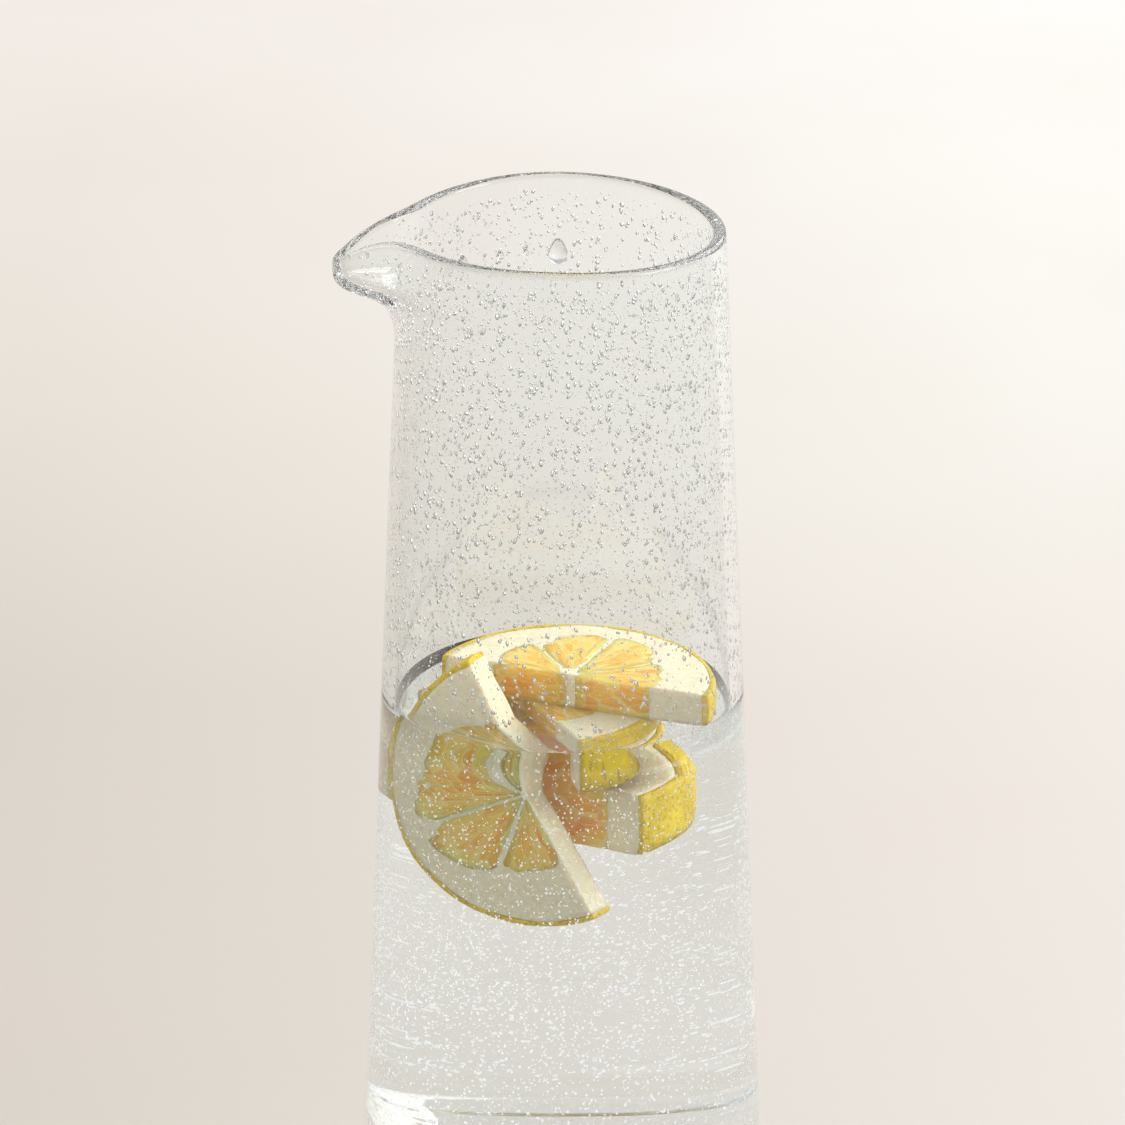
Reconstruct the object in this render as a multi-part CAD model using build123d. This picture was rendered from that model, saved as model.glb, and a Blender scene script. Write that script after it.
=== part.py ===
from build123d import *
import os
from math import cos, exp, hypot, pi, radians, sin

# A mouth-blown glass carafe with a pulled pouring lip, half full of water and lemon slices.
# Millimetres. The origin is the centre of the foot, +Z is up, and the lip points to -X.

# Glass body
body_height = 241.6
foot_radius = 48.2
rim_radius = 37.95
wall = 3.2
bottom_thickness = 11.0
heel_round = 7.0
inner_heel_round = 9.0
rim_round = 1.4

# Rim line seen from the side: its drop at the back, beside and at the root of the lip, half way
# along the lip and at its tip
back_fall = 2.0
side_fall = 0.3
root_fall = 1.3
lip_half_fall = 4.1
lip_droop = 9.2
lip_side_share = 0.6

# Pouring lip: how far it reaches past the rim, and half its width as an angle in degrees
lip_reach = 15.1
lip_spread = 14.7
# Depths under the rim where the lip leaves the round body, curls out and is at full reach
lip_root = 31.5
lip_throat = 17.3
lip_shoulder = 15.6
lip_curl = 1.1
lip_soft_share = 0.25
# The inside of the lip sits this much higher, so the curled glass keeps its thickness
lip_lift = 1.8

# Water
water_level = 124.0

# Lemon, cut across into half slices
lemon_radius = 33.5
peel = 1.4
pith = 4.6
membrane = 0.9
segments = 4
segment_corner = 1.5
wall_gap = 0.5
slice_gap = 0.5

# Front half slice, stood on edge: its lean and yaw are in degrees
front_thickness = 8.0
front_end_pith = 13.0
front_height = 110.0
front_across = -7.6
front_lean = 28.0
front_yaw = 24.0

# Half slices that lie flat. The turn is the heading of the cut's right end, in degrees towards
# the front, and the slide is how much of the room along the cut the slice is pushed by
back_end_pith = 11.0
back_float = 7.8
back_turn = 23.0
back_slide = 0.9
upper_thickness = 11.5
upper_end_pith = 12.0
upper_depth = 0.7
upper_turn = 66.0
upper_slide = -0.85
lower_thickness = 15.0
lower_end_pith = 7.0
lower_gap = 2.7
lower_turn = 38.0
lower_slide = -0.84

# The back slice rests on the upper one
back_thickness = back_float + upper_depth - slice_gap

# Drops left on the inside of the back wall
drop_depth = 32.0
drop_flatness = 0.36
drop_stretch = 1.15
small_drop_width = 3.1
small_drop_height = 4.2
small_drop_across = -23.6
bead_width = 2.0
bead_across = -14.7
fine_bead_width = 1.5
fine_bead_across = -8.6
large_drop_width = 4.6
large_drop_height = 6.6
large_drop_across = -1.1

# Fineness of the lofted glass: points round a level cut, and spacing of the cuts up the lip
cut_point_count = 44
cut_arc_count = 4
cut_crowding = 0.2
cut_spacing = 2.0
edge_sample_count = 40

# How far the cutting forms run past the glass
past_rim = 6.0
past_wall = 8.0
past_tip_drop = 4.0


def taper(height):
    """Outer radius of the plain round body at a height."""
    return foot_radius + (rim_radius - foot_radius) * height / body_height


def inner_radius(height):
    """Radius of the plain round inside at a height."""
    return taper(height) - wall


def lip_share(height):
    """How much of the lip's reach is drawn out at a height, from 0 to 1."""
    rise = (height - body_height + lip_root) / (lip_root - lip_shoulder)
    if rise <= 0:
        return 0.0
    curl = 1 / (1 + exp((body_height - lip_throat - height) / lip_curl))
    return (1 - lip_soft_share) * curl + lip_soft_share * min(rise, 1.0) ** 2


def level_cut(height, side):
    """Level cut along the outside (side 1) or inside (side -1) of the glass, as a few arcs."""
    middle = taper(height) - wall / 2
    drawn = lip_reach * lip_share(height if side > 0 else height - lip_lift)
    spread = radians(lip_spread)
    points = []
    turns = []
    for count in range(-cut_point_count // 2, cut_point_count // 2):
        part = 2 * count / cut_point_count
        angle = pi * part * (cut_crowding + (1 - cut_crowding) * abs(part))
        lobe = 1 + (angle / spread) ** 2
        radius = middle + drawn / lobe**2
        slope = -4 * drawn * angle / spread**2 / lobe**3
        outward = Vector(-cos(angle), -sin(angle), 0)
        around = Vector(sin(angle), -cos(angle), 0)
        normal = (outward * radius - around * slope).normalized()
        points.append(outward * radius + normal * (side * wall / 2) + Vector(0, 0, height))
        turns.append((angle + pi) / (2 * pi))
    ring = Edge.make_spline(points, periodic=True, parameters=turns + [1.0])
    ends = turns[:: cut_point_count // cut_arc_count] + [1.0]
    return Face(Wire([ring.trim(start, end) for start, end in zip(ends, ends[1:])]))


def drawn_form(side, bottom):
    """The tapered form with its lip: a straight lower part, and a lofted part up the lip."""
    lip_start = body_height - lip_root - 3 * cut_spacing
    cuts = round((body_height + past_rim - lip_start) / cut_spacing)
    lower = loft([level_cut(bottom, side), level_cut(lip_start, side)])
    upper = loft([level_cut(lip_start + cut_spacing * step, side) for step in range(cuts + 1)])
    return lower + upper


def above_rim():
    """Everything over the rim line, which droops from the mouth to the tip of the lip."""
    back = rim_radius + past_wall
    tip = rim_radius + lip_reach
    beyond = tip + past_rim
    beside = rim_radius * lip_side_share
    rim_line = Spline(
        (back, body_height - back_fall),
        (0, body_height),
        (-beside, body_height - side_fall),
        (-rim_radius, body_height - root_fall),
        (-(rim_radius + lip_reach / 2), body_height - lip_half_fall),
        (-tip, body_height - lip_droop),
        (-beyond, body_height - lip_droop - past_tip_drop),
    )
    sky = body_height + foot_radius
    border = Polyline(rim_line @ 1, (-beyond, sky), (back, sky), rim_line @ 0)
    side_view = make_face([rim_line, border])
    return extrude(Plane.XZ.offset(2 * foot_radius) * side_view, -4 * foot_radius)


def contents():
    """The whole inside of the glass, from the bottom to over the rim."""
    inside = drawn_form(-1, bottom_thickness)
    return fillet(inside.edges().group_by(Axis.Z)[0], inner_heel_round)


def carafe_body(inside):
    """The blown glass, with a fire-rounded rim and a flat ground foot."""
    outside = drawn_form(1, 0)
    outside = fillet(outside.edges().group_by(Axis.Z)[0], heel_round)
    glass = outside - inside - above_rim()
    rim = [face for face in glass.faces() if face.geom_type == GeomType.EXTRUSION]
    edges = [edge for face in rim for edge in face.edges() if edge.length > 2 * wall]
    return fillet(edges, rim_round)


def half_round(width, depth):
    """Arc under the X axis and its straight edge, with half the width and the depth given."""
    arc = ThreePointArc((-width, 0), (0, -depth), (width, 0))
    return make_face([arc, Line((width, 0), (-width, 0))])


def pulp_cells(thickness, end_pith):
    """The juicy segments of a half slice, side by side round the core."""
    flesh = half_round(lemon_radius - peel - end_pith, lemon_radius - peel - pith)
    step = pi / segments
    setback = membrane / 2 / sin(step / 2)
    cells = []
    for count in range(segments):
        middle = -(count + 0.5) * step
        corners = [(setback * cos(middle), setback * sin(middle))]
        for turn in (-step / 2, step / 2):
            far = 2 * lemon_radius
            x = corners[0][0] + far * cos(middle + turn)
            y = corners[0][1] + far * sin(middle + turn)
            corners.append((x, y))
        sector = make_face(Polyline(*corners, close=True))
        cell = extrude(sector & flesh, -thickness)
        cells.append(fillet(cell.edges().filter_by(Axis.Z), segment_corner))
    return cells


def half_slice(thickness, end_pith, place):
    """Peel, pith, pulp and full outline of a half slice, under the face that the place gives."""
    full = half_round(lemon_radius, lemon_radius)
    white = half_round(lemon_radius - peel, lemon_radius - peel)
    pulp = pulp_cells(thickness, end_pith)
    rind = extrude(full - white, -thickness)
    inner = extrude(white, -thickness)
    for cell in pulp:
        inner = inner - cell
    solid = extrude(full, -thickness)
    return place * rind, place * inner, [place * cell for cell in pulp], place * solid


def laid_flat(turn, slide, height):
    """Place of a slice that lies flat, pushed along and back until one tip is at the wall."""
    reach = inner_radius(height) - wall_gap
    pushed = slide * (reach - lemon_radius)
    back = (reach**2 - (lemon_radius + abs(pushed)) ** 2) ** 0.5
    along = Vector(cos(radians(turn)), -sin(radians(turn)), 0)
    behind = Vector(sin(radians(turn)), cos(radians(turn)), 0)
    origin = along * pushed - behind * back + Vector(0, 0, height)
    return Plane(origin, x_dir=-along, z_dir=(0, 0, 1))


def stood_up(lean, yaw, across, height, thickness):
    """Place of a slice that stands on edge with its cut leaning, moved forward to the wall."""
    facing = Vector(-sin(radians(yaw)), -cos(radians(yaw)), 0)
    level = Vector(cos(radians(yaw)), -sin(radians(yaw)), 0)
    down = level * sin(radians(lean)) - Vector(0, 0, cos(radians(lean)))
    edge = []
    for count in range(edge_sample_count + 1):
        angle = -pi * count / edge_sample_count
        on_face = (down * cos(angle) + facing.cross(down) * sin(angle)) * lemon_radius
        edge += [on_face, on_face - facing * thickness]
    near = 0.0
    far = foot_radius
    while far - near > wall_gap / edge_sample_count:
        forward = (near + far) / 2
        moved = [point + Vector(across, -forward, height) for point in edge]
        room = min(inner_radius(point.Z) - hypot(point.X, point.Y) for point in moved)
        if room > wall_gap:
            near = forward
        else:
            far = forward
    return Plane((across, -near, height), x_dir=down, z_dir=facing)


def water_drops(inside):
    """Drops that cling to the inside of the back wall, each flattened against the glass."""
    drops = []
    sizes = [
        (small_drop_across, small_drop_width, small_drop_height),
        (bead_across, bead_width, bead_width * drop_stretch),
        (fine_bead_across, fine_bead_width, fine_bead_width * drop_stretch),
        (large_drop_across, large_drop_width, large_drop_height),
    ]
    height = body_height - drop_depth
    for across, width, tall in sizes:
        back = (inner_radius(height) ** 2 - across**2) ** 0.5
        bead = scale(Sphere(width / 2), by=(1, 2 * drop_flatness, tall / width))
        drops += (Pos(across, back, height) * bead & inside).solids()
    return Compound(children=drops)


os.makedirs("parts", exist_ok=True)
inside = contents()
export_step(carafe_body(inside), "parts/carafe_body.step")
export_step(water_drops(inside), "parts/water_drops.step")

upper_top = water_level - upper_depth
lower_top = upper_top - upper_thickness - lower_gap
front_place = stood_up(front_lean, front_yaw, front_across, front_height, front_thickness)
back_place = laid_flat(back_turn, back_slide, water_level + back_float)
upper_place = laid_flat(upper_turn, upper_slide, upper_top)
lower_place = laid_flat(lower_turn, lower_slide, lower_top)
slices = [
    ("front", front_thickness, front_end_pith, front_place),
    ("back", back_thickness, back_end_pith, back_place),
    ("upper", upper_thickness, upper_end_pith, upper_place),
    ("lower", lower_thickness, lower_end_pith, lower_place),
]
surface = Pos(0, 0, water_level - body_height)
water = inside & surface * Box(body_height, body_height, 2 * body_height)
for name, thickness, end_pith, place in slices:
    rind, inner, pulp, solid = half_slice(thickness, end_pith, place)
    cells = [piece for cell in pulp for piece in cell.solids()]
    export_step(rind, f"parts/{name}_slice_peel.step")
    export_step(inner, f"parts/{name}_slice_pith.step")
    export_step(Compound(children=cells), f"parts/{name}_slice_pulp.step")
    water = water - solid
export_step(water, "parts/water.step")
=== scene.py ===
import functools
import math
import random

import bmesh
import bpy
import numpy as np
from mathutils import Matrix, Vector, noise


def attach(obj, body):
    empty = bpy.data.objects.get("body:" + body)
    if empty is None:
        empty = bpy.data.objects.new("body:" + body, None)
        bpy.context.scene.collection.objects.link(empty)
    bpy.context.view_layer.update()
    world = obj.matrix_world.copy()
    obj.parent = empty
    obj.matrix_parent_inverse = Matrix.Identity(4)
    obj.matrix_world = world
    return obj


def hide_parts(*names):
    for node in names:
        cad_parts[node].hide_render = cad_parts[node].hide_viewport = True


# A mouth-blown, seeded glass carafe with a pulled lip, half full of water with lemon half slices.
# Lengths are written in millimetres. +Z is up, the foot stands on the floor, the lip is at -X.

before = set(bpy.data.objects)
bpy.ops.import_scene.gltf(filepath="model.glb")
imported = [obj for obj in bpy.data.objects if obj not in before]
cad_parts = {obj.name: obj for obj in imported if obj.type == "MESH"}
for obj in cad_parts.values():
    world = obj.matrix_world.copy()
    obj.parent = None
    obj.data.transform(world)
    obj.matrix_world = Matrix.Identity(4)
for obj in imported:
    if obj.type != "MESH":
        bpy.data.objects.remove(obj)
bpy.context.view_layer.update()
MM = 0.001

# Camera: a long lens two metres away that looks down on the carafe, so that its mouth shows as an
# oval and its foot is under the lower edge of the picture.
camera_data = bpy.data.cameras.new("camera")
camera_data.sensor_width = 36
camera_data.lens = 272
camera = bpy.data.objects.new("camera", camera_data)
camera.location = (0, -1.86716, 0.87364)
camera.rotation_euler = (math.radians(69), 0, 0)
bpy.context.collection.objects.link(camera)
bpy.context.scene.camera = camera
bpy.context.scene.view_settings.view_transform = "Standard"

# Floor: one pale, warm painted board that fills the view, with painted light on it: darker near
# the camera and at the left, lighter far off and at the right, where the lamps are, with faint
# patches of wear. It shows this colour to the camera and through the glass, and still takes the
# soft shadow of the carafe.
def paint(code):
    """Linear colour of an sRGB hex value."""
    parts = [int(code[at : at + 2], 16) / 255 for at in (0, 2, 4)]
    return [c / 12.92 if c <= 0.04045 else ((c + 0.055) / 1.055) ** 2.4 for c in parts] + [1.0]


def add(tree, kind, links=(), **settings):
    """Adds a node, with its own settings, and with values or links for its sockets."""
    made = tree.nodes.new(kind)
    for name, value in settings.items():
        setattr(made, name, value)
    for socket, value in dict(links).items():
        if isinstance(value, bpy.types.NodeSocket):
            tree.links.new(value, made.inputs[socket])
        else:
            made.inputs[socket].default_value = value
    return made


def new_material(name):
    """An empty material, its node tree and its output."""
    made = bpy.data.materials.new(name)
    made.use_nodes = True
    made.node_tree.nodes.clear()
    return made, made.node_tree, made.node_tree.nodes.new("ShaderNodeOutputMaterial")


def blend_by_height(tree, value, stops):
    """Colours that change along a value from 0 to 1."""
    ramp = add(tree, "ShaderNodeValToRGB", {"Fac": value})
    elements = ramp.color_ramp.elements
    for at, code in stops[2:]:
        elements.new(at)
    for element, (at, code) in zip(elements, stops):
        element.position = at
        element.color = paint(code)
    return ramp.outputs["Color"]


board, tree, out = new_material("painted_board")
place = add(tree, "ShaderNodeTexCoord").outputs["Object"]
across = add(tree, "ShaderNodeSeparateXYZ", {"Vector": place})
depth = add(tree, "ShaderNodeMapRange", {"Value": across.outputs["Y"], "From Min": 0.04, "From Max": 0.93})
far_side = depth.outputs["Result"]
# Painted light: darker near the camera and at the left, lighter far off and at the right, where the lamps are.
left_painted_light = blend_by_height(tree, far_side, [(0.0, "D9D2C8"), (0.3, "D9D2C8"), (0.57, "E7E0D7"), (1.0, "F1EAE4")])
right_painted_light = blend_by_height(tree, far_side, [(0.0, "ECE5DF"), (0.3, "EEE7E0"), (0.57, "F5F2EB"), (1.0, "FBF8F4")])
sideways = add(tree, "ShaderNodeMapRange", {"Value": across.outputs["X"], "From Min": -0.16, "From Max": 0.15})
painted_light_mix = add(
    tree, "ShaderNodeMix", {0: sideways.outputs["Result"], 6: left_painted_light, 7: right_painted_light}, data_type="RGBA"
)
patches = add(tree, "ShaderNodeTexNoise", {"Vector": place, "Scale": 5.0, "Detail": 3.0, "Roughness": 0.5})
patch_share = add(
    tree,
    "ShaderNodeMapRange",
    {"Value": patches.outputs["Fac"], "From Min": 0.4, "From Max": 0.75, "To Min": 0.0, "To Max": 0.2},
)
# The painted light, with faint patches of wear in a darker tone.
painted_light_and_wear = add(
    tree,
    "ShaderNodeMix",
    {0: patch_share.outputs["Result"], 6: painted_light_mix.outputs[2], 7: paint("E3D5C9")},
    data_type="RGBA",
)
matte = add(tree, "ShaderNodeBsdfDiffuse", {"Color": painted_light_and_wear.outputs[2]})
plain = add(tree, "ShaderNodeEmission", {"Color": painted_light_and_wear.outputs[2], "Strength": 1.0})
rays = add(tree, "ShaderNodeLightPath").outputs
seen = add(tree, "ShaderNodeMath", {0: rays["Is Camera Ray"], 1: rays["Is Glossy Ray"]}, operation="MAXIMUM")
seen = add(tree, "ShaderNodeMath", {0: seen.outputs[0], 1: rays["Is Transmission Ray"]}, operation="MAXIMUM")
shown_share = add(tree, "ShaderNodeMath", {0: seen.outputs[0], 1: 0.8}, operation="MULTIPLY")
both = add(tree, "ShaderNodeMixShader", {0: shown_share.outputs[0], 1: matte.outputs[0], 2: plain.outputs[0]})
tree.links.new(both.outputs[0], out.inputs["Surface"])

mesh = bmesh.new()
bmesh.ops.create_grid(mesh, x_segments=1, y_segments=1, size=4.0)
floor_data = bpy.data.meshes.new("floor")
mesh.to_mesh(floor_data)
mesh.free()
floor_data.materials.append(board)
floor = bpy.data.objects.new("floor", floor_data)
bpy.context.collection.objects.link(floor)

# Light: a large soft box at the right and a little behind, a smaller one at the right and in front,
# a weaker one at the left and in front, and a pale sky, lighter overhead. The clear pieces let the
# light through to what is behind them.
def soft_box(name, power, width, height, place, aim):
    """A rectangular soft light that faces a point."""
    data = bpy.data.lights.new(name, "AREA")
    data.shape = "RECTANGLE"
    data.size = width
    data.size_y = height
    data.energy = power
    made = bpy.data.objects.new(name, data)
    made.location = place
    made.rotation_euler = (Vector(aim) - Vector(place)).to_track_quat("-Z", "Y").to_euler()
    bpy.context.collection.objects.link(made)
    return made


soft_box("back_box", 18.0, 1.6, 1.3, (1.1, 1.0, 1.1), (0, 0, 0.12))
soft_box("right_box", 7.0, 0.7, 0.7, (1.2, -0.35, 0.85), (0, 0, 0.12))
soft_box("front_box", 3.0, 1.2, 1.2, (-0.9, -1.2, 0.9), (0, 0, 0.12))
sky = bpy.data.worlds.new("sky")
sky.use_nodes = True
bpy.context.scene.world = sky
tree = sky.node_tree
tree.nodes.clear()
direction = add(tree, "ShaderNodeTexCoord").outputs["Generated"]
up = add(tree, "ShaderNodeSeparateXYZ", {"Vector": direction}).outputs["Z"]
sky_colour = blend_by_height(tree, up, [(0.0, "C4C5C6"), (0.35, "D9DADA"), (1.0, "F4F4F4")])
air = add(tree, "ShaderNodeBackground", {"Color": sky_colour, "Strength": 0.9})
sky_out = add(tree, "ShaderNodeOutputWorld", {"Surface": air.outputs[0]})
cycles = bpy.context.scene.cycles
cycles.max_bounces = 40
cycles.transmission_bounces = 40
cycles.glossy_bounces = 12
cycles.transparent_max_bounces = 48
cycles.caustics_reflective = False
cycles.caustics_refractive = True

# Glass body: one piece of clear soda-lime glass, blown thick at the foot, with a fire-rounded rim
# and a lip that is pulled out while the glass is soft. Outside, rim and inside are one skin.
BODY_HEIGHT = 241.6
FOOT_RADIUS = 48.199
RIM_RADIUS = 37.95
WALL = 3.2
BOTTOM = 11.0
HEEL = 7.0
INNER_HEEL = 9.0
RIM_ROUND = 1.4
LIP_REACH = 15.1
LIP_SPREAD = math.radians(14.7)
LIP_ROOT = 31.5
LIP_THROAT = 17.3
LIP_SHOULDER = 15.6
LIP_CURL = 1.1
LIP_SOFT_SHARE = 0.25
LIP_LIFT = 1.8
SLOPE = (FOOT_RADIUS - RIM_RADIUS) / BODY_HEIGHT
AROUND = 288
rim_line_x = [-59.05, -53.05, -45.5, -37.95, -22.77, 0.0, 45.95]
rim_line_z = [228.4, 232.4, 237.5, 240.2, 241.2, 241.5, 239.5]


def rim_height(x):
    """Height of the rim line, a smooth curve through its measured points."""
    xs, zs = rim_line_x, rim_line_z
    at = min(max(sum(x > known for known in xs) - 1, 0), len(xs) - 2)
    slopes = [
        (zs[min(i + 1, len(xs) - 1)] - zs[max(i - 1, 0)]) / (xs[min(i + 1, len(xs) - 1)] - xs[max(i - 1, 0)])
        for i in (at, at + 1)
    ]
    span = xs[at + 1] - xs[at]
    t = (x - xs[at]) / span
    return (
        (1 + 2 * t) * (1 - t) ** 2 * zs[at]
        + t * (1 - t) ** 2 * span * slopes[0]
        + t**2 * (3 - 2 * t) * zs[at + 1]
        + t**2 * (t - 1) * span * slopes[1]
    )


def lip_share(height):
    """How much of the lip's reach is drawn out at a height, from 0 to 1."""
    rise = (height - BODY_HEIGHT + LIP_ROOT) / (LIP_ROOT - LIP_SHOULDER)
    if rise <= 0:
        return 0.0
    curl = 1 / (1 + math.exp((BODY_HEIGHT - LIP_THROAT - height) / LIP_CURL))
    return (1 - LIP_SOFT_SHARE) * curl + LIP_SOFT_SHARE * min(rise, 1.0) ** 2


def on_wall(angle, height, side):
    """Point of the glass at an angle from the lip: side 1 is outside, -1 inside, 0 between."""
    drawn = LIP_REACH * lip_share(height - LIP_LIFT * (1 - side) / 2)
    lobe = 1 + (angle / LIP_SPREAD) ** 2
    radius = FOOT_RADIUS - SLOPE * height - WALL / 2 + drawn / lobe**2
    slope = -4 * drawn * angle / LIP_SPREAD**2 / lobe**3
    outward = Vector((-math.cos(angle), -math.sin(angle), 0))
    along = Vector((math.sin(angle), -math.cos(angle), 0))
    normal = (outward * radius - along * slope).normalized()
    return outward * radius + normal * (side * WALL / 2) + Vector((0, 0, height))


def round_point(angle, radius, height):
    """Point on a plain round part at an angle from the lip."""
    return Vector((-math.cos(angle) * radius, -math.sin(angle) * radius, height))


def heel_centre(radius, height, size):
    """Distance from the axis of the centre of a round between a level and the sloping wall."""
    tilt = math.atan(SLOPE)
    return radius - (size + height * math.sin(tilt)) / math.cos(tilt)


def glass_profile():
    """Stations up the outside, over the rim and down the inside, each a place for an angle."""
    stations = []
    heel = heel_centre(FOOT_RADIUS, HEEL, HEEL)
    inner = heel_centre(FOOT_RADIUS - WALL, BOTTOM + INNER_HEEL, INNER_HEEL)
    for share in (0.0, 0.5, 0.9):
        stations.append(lambda a, t, s=share: round_point(a, heel * s, 0))
    for step in range(9):
        turn = math.radians(-90 + 92.4 * step / 8)
        stations.append(
            lambda a, t, u=turn: round_point(a, heel + HEEL * math.cos(u), HEEL + HEEL * math.sin(u))
        )
    heights = [HEEL + 6 + 190 * step / 19 for step in range(20)] + [205 + step for step in range(1, 20)]
    for height in heights:
        stations.append(lambda a, t, h=height: on_wall(a, h, 1))
    for step in range(1, 13):
        stations.append(lambda a, t, s=step / 12: on_wall(a, 224 + s * (t - 224), 1))
    for step in range(1, 12):
        turn = math.pi * step / 12
        lift = RIM_ROUND * math.sin(turn) ** 0.8
        stations.append(
            lambda a, t, u=turn, up=lift: on_wall(a, t, 1).lerp(on_wall(a, t, -1), (1 - math.cos(u)) / 2)
            + Vector((0, 0, up))
        )
    for step in range(12, 0, -1):
        stations.append(lambda a, t, s=step / 12: on_wall(a, 224 + s * (t - 224), -1))
    for height in reversed(heights[2:]):
        stations.append(lambda a, t, h=height: on_wall(a, h, -1))
    for step in range(9):
        turn = math.radians(2.4 - 92.4 * step / 8)
        stations.append(
            lambda a, t, u=turn: round_point(
                a, inner + INNER_HEEL * math.cos(u), BOTTOM + INNER_HEEL + INNER_HEEL * math.sin(u)
            )
        )
    for share in (0.9, 0.5, 0.0):
        stations.append(lambda a, t, s=share: round_point(a, inner * s, BOTTOM))
    return stations


def turned(stations, around, crowded, top):
    """A closed skin: a column of points spun round, then each point is moved to its place."""
    mesh = bmesh.new()
    column = [mesh.verts.new((1, 0, step)) for step in range(len(stations))]
    edges = [mesh.edges.new(pair) for pair in zip(column, column[1:])]
    bmesh.ops.spin(
        mesh, geom=column + edges, axis=(0, 0, 1), cent=(0, 0, 0), steps=around, angle=2 * math.pi, use_merge=True
    )
    for vert in mesh.verts:
        share = round(math.atan2(vert.co.y, vert.co.x) / math.pi * around / 2) * 2 / around
        angle = math.pi * share * (crowded + (1 - crowded) * abs(share))
        vert.co = stations[round(vert.co.z)](angle, top(angle)) * MM
    bmesh.ops.remove_doubles(mesh, verts=mesh.verts, dist=1e-6)
    bmesh.ops.recalc_face_normals(mesh, faces=mesh.faces)
    return mesh


@functools.cache
def bead_base(angle):
    """Height at an angle where the rounded rim starts."""
    height = BODY_HEIGHT
    for again in range(14):
        height = (height + rim_height(on_wall(angle, height - RIM_ROUND, 0).x)) / 2
    return height - RIM_ROUND


def clear_material(name, code, ior):
    """Clear stuff that bends light and lets lamps reach what is behind it."""
    made, tree, out = new_material(name)
    body = add(
        tree,
        "ShaderNodeBsdfPrincipled",
        {"Base Color": paint(code), "Roughness": 0.0, "IOR": ior, "Transmission Weight": 1.0},
    )
    lit = add(tree, "ShaderNodeBsdfTransparent", {"Color": paint(code)})
    rays = add(tree, "ShaderNodeLightPath").outputs
    both = add(tree, "ShaderNodeMixShader", {0: rays["Is Shadow Ray"], 1: body.outputs[0], 2: lit.outputs[0]})
    tree.links.new(both.outputs[0], out.inputs["Surface"])
    return made


def make_piece(name, mesh, material, slot, *nodes):
    """A finished mesh becomes a smooth piece of the object, in place of its CAD nodes."""
    data = bpy.data.meshes.new(name)
    mesh.to_mesh(data)
    mesh.free()
    data.materials.append(material)
    data.shade_smooth()
    made = bpy.data.objects.new(name, data)
    bpy.context.collection.objects.link(made)
    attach(made, "root")
    if nodes:
        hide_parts(*nodes)
    return made


glass = clear_material("clear_blown_glass", "F9FBFB", 1.5)
body_mesh = turned(glass_profile(), AROUND, 0.2, bead_base)
make_piece("glass_body", body_mesh, glass, "clear_glass", "carafe_body")

# Seeds: thousands of small air bubbles shut in the glass wall. They are drawn out upwards with the
# glass, and round the rim along it. Each is a little closed ball of air inside the glass; the
# middle and lower ones also glow a little white, a painted highlight.
random.seed(11)


def seed_material(name, white):
    """Air in glass, with a share of white glow: a painted highlight for the lamp light each ball gathers."""
    made, tree, out = new_material(name)
    made.cycles.emission_sampling = "NONE"
    bubble = add(tree, "ShaderNodeBsdfGlass", {"Color": paint("FFFFFF"), "Roughness": 0.0, "IOR": 0.6667})
    painted_glint = add(tree, "ShaderNodeEmission", {"Color": paint("FFFFFF"), "Strength": 1.0})
    shown = add(tree, "ShaderNodeMixShader", {0: white, 1: bubble.outputs[0], 2: painted_glint.outputs[0]})
    lit = add(tree, "ShaderNodeBsdfTransparent", {"Color": paint("FFFFFF")})
    rays = add(tree, "ShaderNodeLightPath").outputs
    both = add(tree, "ShaderNodeMixShader", {0: rays["Is Shadow Ray"], 1: shown.outputs[0], 2: lit.outputs[0]})
    tree.links.new(both.outputs[0], out.inputs["Surface"])
    return made


def seed_cloud(count, low, high, size_low, size_high, stretch):
    """Small balls of air at random places in the wall between two heights."""
    mesh = bmesh.new()
    bmesh.ops.create_icosphere(mesh, subdivisions=1, radius=0.5 * MM)
    corners = len(mesh.verts)
    while len(mesh.verts) < corners * count:
        bmesh.ops.duplicate(mesh, geom=mesh.verts[:] + mesh.edges[:] + mesh.faces[:])
    bmesh.ops.delete(mesh, geom=mesh.verts[corners * count :], context="VERTS")
    mesh.verts.ensure_lookup_table()
    for seed in range(count):
        angle = random.uniform(-math.pi, math.pi)
        height = random.uniform(low, high)
        outside = on_wall(angle, height, 1)
        inside = on_wall(angle, height, -1)
        centre = inside.lerp(outside, random.uniform(0.2, 0.8))
        outward = (outside - inside).normalized()
        size = size_low + (size_high - size_low) * random.random() ** 3
        tall = size * random.uniform(*stretch)
        lean = Matrix.Rotation(random.gauss(0.25, 0.25), 3, outward)
        tilt = outward.to_track_quat("Y", "Z").to_matrix()
        shape = lean @ tilt @ Matrix.Diagonal((size, size, tall))
        for at in range(corners * seed, corners * (seed + 1)):
            mesh.verts[at].co = centre * MM + shape @ mesh.verts[at].co
    return mesh


# The middle seeds glow a little white and the lower ones more: a painted highlight.
clear_air = seed_material("air_seed", 0.0)
glinting_air = seed_material("glinting_air_seed", 0.2)
bright_air = seed_material("lit_air_seed", 0.55)
seed_count = 9000
cloud = seed_cloud(seed_count, 126, 236, 0.3, 1.1, (0.9, 1.9))
make_piece("seeds_upper", cloud, clear_air, "clear_glass")
cloud = seed_cloud(seed_count, 60, 126, 0.3, 0.7, (0.9, 1.4))
make_piece("seeds_middle", cloud, glinting_air, "clear_glass")
cloud = seed_cloud(seed_count, 12, 84, 0.35, 0.8, (0.9, 1.4))
make_piece("seeds_lower", cloud, bright_air, "clear_glass")
cloud = seed_cloud(600, 205, 238, 0.6, 1.5, (0.5, 1.0))
make_piece("seeds_rim", cloud, clear_air, "clear_glass")

# Water: clear and still, up to half height. It wets the glass, so it reaches a hair into the wall
# with no air between, and creeps a little up the wall at its edge.
WATER_LEVEL = 124.0
WETTING = 0.15
CREEP = 1.2


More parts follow.
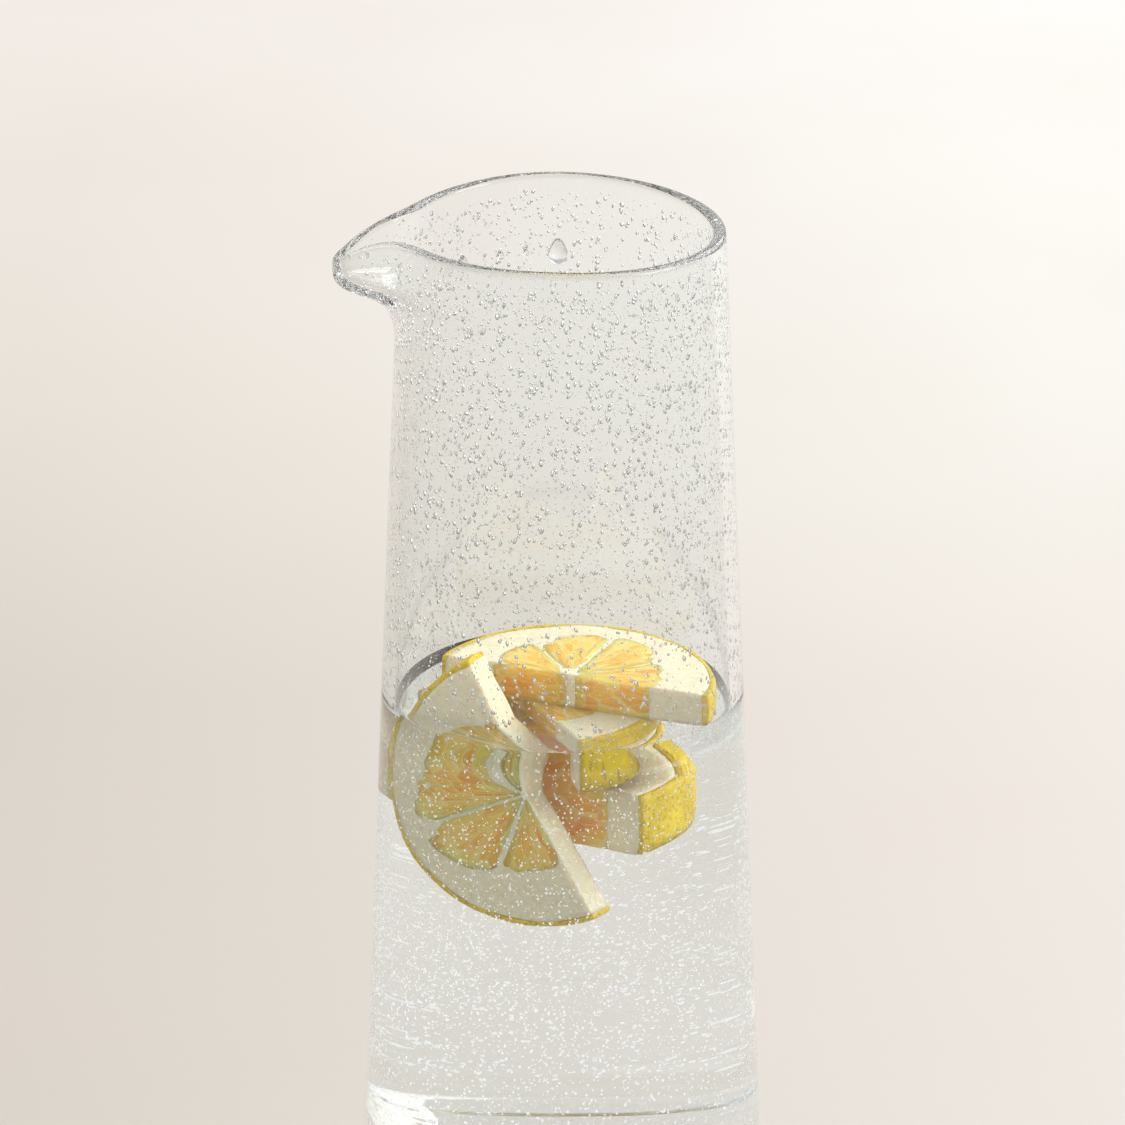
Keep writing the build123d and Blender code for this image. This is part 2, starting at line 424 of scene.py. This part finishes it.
def water_profile():
    """Stations from the middle of the bottom up the wall and back over the surface."""
    inner = heel_centre(FOOT_RADIUS - WALL, BOTTOM + INNER_HEEL, INNER_HEEL)
    size = INNER_HEEL + WETTING
    stations = []
    for share in (0.0, 0.5, 0.9):
        stations.append(lambda a, t, s=share: round_point(a, inner * s, BOTTOM - WETTING))
    for step in range(9):
        turn = math.radians(-90 + 92.4 * step / 8)
        stations.append(
            lambda a, t, u=turn: round_point(
                a, inner + size * math.cos(u), BOTTOM + INNER_HEEL + size * math.sin(u)
            )
        )
    for step in range(1, 12):
        height = 21 + (WATER_LEVEL + CREEP - 21) * step / 11
        stations.append(
            lambda a, t, h=height: round_point(a, FOOT_RADIUS - SLOPE * h - WALL + WETTING, h)
        )
    edge = FOOT_RADIUS - SLOPE * WATER_LEVEL - WALL + WETTING
    for gap in (0.25, 0.6, 1.0, 1.6, 2.4, 3.4, 5, 8, 12, 17, 23, 30, 36, edge):
        rise = CREEP * math.exp(-(gap - 0.15) / 1.3)
        stations.append(lambda a, t, g=gap, up=rise: round_point(a, edge - g, WATER_LEVEL + up))
    return stations


water = clear_material("still_water", "FEFFFF", 1.333)
water_mesh = turned(water_profile(), 144, 1.0, lambda angle: WATER_LEVEL)
make_piece("water_body", water_mesh, water, "still_water", "water")

# Drops: a few beads of water that cling to the inside of the back wall near the rim, each flat
# against the glass and heavier at its lower end.
drop_mesh = bmesh.new()
for across, width, tall in ((-23.6, 3.1, 4.2), (-14.7, 2.0, 2.3), (-8.6, 1.5, 1.7), (-1.1, 4.6, 6.6)):
    height = BODY_HEIGHT - 19.5
    reach = FOOT_RADIUS - SLOPE * height - WALL
    back = math.sqrt(reach**2 - across**2)
    outward = Vector((across, back, 0)).normalized()
    tilt = outward.to_track_quat("Y", "Z").to_matrix()
    made = bmesh.ops.create_uvsphere(drop_mesh, u_segments=32, v_segments=20, radius=1.0)
    for vert in made["verts"]:
        narrow = 1 - 0.28 * vert.co.z - 0.08 * vert.co.z**2
        local = Vector((vert.co.x * width / 2 * narrow, vert.co.y * width * 0.36 * narrow, vert.co.z * tall / 2))
        vert.co = (Vector((across, back, height)) + tilt @ local) * MM
make_piece("clinging_drops", drop_mesh, water, "still_water", "water_drops")

# Lemon: one fruit cut across into thick half slices. Each has a thin waxy peel, a soft white pith
# and four wedges of pulp. The pieces store the place on the slice, so the patterns follow the cut.
LEMON_RADIUS = 33.5
PEEL = 1.4
PITH = 4.6
noise.seed_set(11)


def local_block(across, along, deep):
    """A closed block of faces from -1 to 1 each way, made of a grid drawn out downwards."""
    mesh = bmesh.new()
    bmesh.ops.create_grid(mesh, x_segments=across, y_segments=along, size=1.0)
    bmesh.ops.translate(mesh, verts=mesh.verts, vec=(0, 0, 1))
    faces = mesh.faces[:]
    for step in range(deep):
        made = bmesh.ops.extrude_face_region(mesh, geom=faces)["geom"]
        if step:
            bmesh.ops.delete(mesh, geom=faces, context="FACES")
        faces = [part for part in made if isinstance(part, bmesh.types.BMFace)]
        moved = [part for part in made if isinstance(part, bmesh.types.BMVert)]
        bmesh.ops.translate(mesh, verts=moved, vec=(0, 0, -2 / deep))
    return mesh


def placed(mesh, shape, place, name, material, slot, node):
    """Each point goes to its place on the slice by formula, which is stored, and then in the row."""
    stored = mesh.verts.layers.float_vector.new("slice_place")
    for vert in mesh.verts:
        local = shape(vert.co)
        vert[stored] = local
        vert.co = (place @ local) * MM
    bmesh.ops.recalc_face_normals(mesh, faces=mesh.faces)
    return make_piece(name, mesh, material, slot, node)


def slice_frame(origin, x_dir, z_dir):
    """Place of a half slice: its straight cut is along x, its round side towards -y, its face at 0."""
    x = Vector(x_dir).normalized()
    z = Vector(z_dir).normalized()
    y = z.cross(x)
    turn = Matrix((x, y, z)).transposed()
    return Matrix.Translation(origin) @ turn.to_4x4()


def wobble(point, size, amount, seed):
    """A soft random push, for flesh that is never quite even."""
    return amount * noise.noise_vector(Vector(point) / size + Vector((seed, seed * 1.7, 0)))


def half_slice(name, thickness, end_pith, place, seed, skinned=False):
    """Peel, pith and pulp of one half slice, in their own pieces."""
    middle = -thickness / 2

    def pith_shape(at):
        radius = LEMON_RADIUS - PEEL + 0.3 - 0.5 * abs(at.z) ** 8
        v = (1 - at.y) / 2
        x = radius * at.x * math.sqrt(1 - v * v / 2)
        y = -radius * v * math.sqrt(1 - at.x**2 / 2)
        local = Vector((x, y, middle + at.z * thickness / 2))
        return local + wobble(local, 9.0, 0.35, seed)

    def peel_shape(at):
        turn = -math.pi * (at.x + 1) / 2
        out = LEMON_RADIUS - PEEL / 2 + at.y * PEEL / 2 - 0.35 * abs(at.z) ** 6 * max(at.y, 0)
        local = Vector((out * math.cos(turn), out * math.sin(turn), middle + at.z * (thickness / 2 - 0.05)))
        return local + wobble(local, 12.0, 0.25, seed)

    placed(local_block(48, 24, 8), pith_shape, place, f"{name}_pith", pith_skin, "lemon_pith", f"{name}_slice_pith")
    placed(local_block(96, 4, 8), peel_shape, place, f"{name}_peel", peel_skin, "lemon_peel", f"{name}_slice_peel")

    flesh_depth = LEMON_RADIUS - PEEL - PITH
    flesh_half = LEMON_RADIUS - PEEL - end_pith
    step = math.pi / 4
    whole = bmesh.new()
    stored = whole.verts.layers.float_vector.new("slice_place")
    for count in range(4):
        turn = -(count + 0.5) * step

        def pulp_shape(at):
            share = (at.y + 1) / 2
            at_cut = (count == 0 and at.x > 0) or (count == 3 and at.x < 0)
            inward = -0.25 if at_cut and not skinned else 0.35
            middle_angle = turn + at.x * step / 2
            edge = 1 / math.sqrt(
                (math.cos(middle_angle) / flesh_half) ** 2 + (math.sin(middle_angle) / flesh_depth) ** 2
            )
            radius = 1.2 + (edge * (1 - 0.07 * abs(at.x) ** 5) - 1.2) * share
            angle = middle_angle - at.x * abs(at.x) ** 3 * inward / radius
            swell = 0.3 * (1 - at.x**6) * (1 - at.y**6)
            local = Vector((radius * math.cos(angle), radius * math.sin(angle), 0))
            local.z = middle + at.z * (thickness / 2 + swell)
            return local + wobble(local, 2.6, 0.16, seed + count)

        cell = local_block(24, 28, 6)
        kept = cell.verts.layers.float_vector.new("slice_place")
        for vert in cell.verts:
            local = pulp_shape(vert.co)
            vert[kept] = local
            vert.co = (place @ local) * MM
        spare = bpy.data.meshes.new("cell")
        cell.to_mesh(spare)
        cell.free()
        whole.from_mesh(spare)
        bpy.data.meshes.remove(spare)
    bmesh.ops.recalc_face_normals(whole, faces=whole.faces)
    make_piece(f"{name}_pulp", whole, pulp_flesh, "lemon_pulp", f"{name}_slice_pulp")


# Lemon peel: waxed yellow rind with small oil glands, which show as dimples and darker specks.
peel_skin, tree, out = new_material("lemon_rind")
place_on = add(tree, "ShaderNodeAttribute", attribute_name="slice_place").outputs["Vector"]
glands = add(tree, "ShaderNodeTexVoronoi", {"Vector": place_on, "Scale": 0.75, "Randomness": 0.9})
tone = add(tree, "ShaderNodeTexNoise", {"Vector": place_on, "Scale": 0.12, "Detail": 3.0})
rind_colour = blend_by_height(tree, tone.outputs["Fac"], [(0.3, "D6B400"), (0.7, "F0D022")])
dimple = add(
    tree,
    "ShaderNodeMapRange",
    {"Value": glands.outputs["Distance"], "From Min": 0.0, "From Max": 0.45, "To Min": 0.0, "To Max": 1.0},
)
speck = add(
    tree, "ShaderNodeMix", {0: dimple.outputs["Result"], 6: paint("B59A00"), 7: rind_colour}, data_type="RGBA"
)
hollow = add(
    tree, "ShaderNodeBump", {"Strength": 0.6, "Distance": 0.0004, "Height": dimple.outputs["Result"]}
)
rind = add(
    tree,
    "ShaderNodeBsdfPrincipled",
    {
        "Base Color": speck.outputs[2],
        "Roughness": 0.45,
        "IOR": 1.45,
        "Specular IOR Level": 0.15,
        "Normal": hollow.outputs["Normal"],
    },
)
tree.links.new(rind.outputs[0], out.inputs["Surface"])

# Lemon pith: soft, matt and fibrous, near white to pale cream, varying at random along its fibre.
pith_skin, tree, out = new_material("lemon_albedo")
place_on = add(tree, "ShaderNodeAttribute", attribute_name="slice_place").outputs["Vector"]
fibre = add(tree, "ShaderNodeTexNoise", {"Vector": place_on, "Scale": 0.6, "Detail": 5.0, "Roughness": 0.6})
pith_colour = blend_by_height(tree, fibre.outputs["Fac"], [(0.3, "E8D9B0"), (0.65, "F6EBCF")])
soft = add(tree, "ShaderNodeBump", {"Strength": 0.5, "Distance": 0.0004, "Height": fibre.outputs["Fac"]})
pith = add(
    tree,
    "ShaderNodeBsdfPrincipled",
    {
        "Base Color": pith_colour,
        "Roughness": 0.6,
        "IOR": 1.4,
        "Subsurface Weight": 0.3,
        "Subsurface Scale": 0.002,
        "Normal": soft.outputs["Normal"],
    },
)
tree.links.new(pith.outputs[0], out.inputs["Surface"])

# Lemon pulp: juice sacs in thin skins, long and pointed towards the core. Wet, it is golden where
# the flesh is deep, and along each sac's edge is a pale line, partly its thin skin and partly a
# painted highlight.
pulp_flesh, tree, out = new_material("lemon_juice_sacs")
place_on = add(tree, "ShaderNodeAttribute", attribute_name="slice_place").outputs["Vector"]
part = add(tree, "ShaderNodeSeparateXYZ", {"Vector": place_on}).outputs
level = add(tree, "ShaderNodeCombineXYZ", {"X": part["X"], "Y": part["Y"], "Z": 0.0})
far = add(tree, "ShaderNodeVectorMath", {0: level.outputs[0]}, operation="LENGTH").outputs["Value"]
turn = add(tree, "ShaderNodeMath", {0: part["Y"], 1: part["X"]}, operation="ARCTAN2").outputs[0]
sweep = add(tree, "ShaderNodeMath", {0: turn, 1: 11.0}, operation="MULTIPLY").outputs[0]
long = add(tree, "ShaderNodeMath", {0: far, 1: 0.2}, operation="MULTIPLY").outputs[0]
deep = add(tree, "ShaderNodeMath", {0: part["Z"], 1: 0.5}, operation="MULTIPLY").outputs[0]
sac_place = add(tree, "ShaderNodeCombineXYZ", {"X": sweep, "Y": long, "Z": deep}).outputs[0]
sacs = add(tree, "ShaderNodeTexVoronoi", {"Vector": sac_place, "Scale": 1.0, "Randomness": 1.0})
skins = add(
    tree,
    "ShaderNodeTexVoronoi",
    {"Vector": sac_place, "Scale": 1.0, "Randomness": 1.0},
    feature="DISTANCE_TO_EDGE",
)
sac_tone = add(tree, "ShaderNodeSeparateColor", {"Color": sacs.outputs["Color"]}).outputs["Red"]
juice = blend_by_height(tree, sac_tone, [(0.0, "F3AC28"), (0.5, "FCC644"), (1.0, "FFDC78")])
# Pale lines along each sac's edge, partly its thin skin and partly a painted highlight.
skin_and_highlight_share = add(
    tree,
    "ShaderNodeMapRange",
    {"Value": skins.outputs["Distance"], "From Min": 0.0, "From Max": 0.1, "To Min": 0.35, "To Max": 0.0},
)
flesh_colour = add(
    tree, "ShaderNodeMix", {0: skin_and_highlight_share.outputs["Result"], 6: juice, 7: paint("FBEFC4")}, data_type="RGBA"
)
plump = add(
    tree, "ShaderNodeBump", {"Strength": 0.5, "Distance": 0.0006, "Height": skins.outputs["Distance"]}
)
flesh = add(
    tree,
    "ShaderNodeBsdfPrincipled",
    {
        "Base Color": flesh_colour.outputs[2],
        "Roughness": 0.35,
        "IOR": 1.38,
        "Specular IOR Level": 0.3,
        "Subsurface Weight": 1.0,
        "Subsurface Scale": 0.004,
        "Normal": plump.outputs["Normal"],
    },
)
flesh.inputs["Subsurface Radius"].default_value = (1.0, 0.7, 0.3)
tree.links.new(flesh.outputs[0], out.inputs["Surface"])

front = slice_frame((-7.6, -24.759, 110.0), (0.42888, -0.19095, -0.88295), (-0.40674, -0.91355, 0))
back = slice_frame((1.9546, -7.8527, 131.8), (-0.9205, 0.39073, 0), (0, 0, 1))
upper = slice_frame((-9.4841, 1.1451, 123.3), (-0.40674, 0.91355, 0), (0, 0, 1))
lower = slice_frame((-9.7327, -3.7643, 109.1), (-0.78801, 0.61566, 0), (0, 0, 1))
half_slice("front", 8.0, 13.0, front, 1.0, skinned=True)
half_slice("back", 8.0, 11.0, back, 2.0)
half_slice("upper", 11.5, 12.0, upper, 3.0)
half_slice("lower", 15.0, 7.0, lower, 4.0)
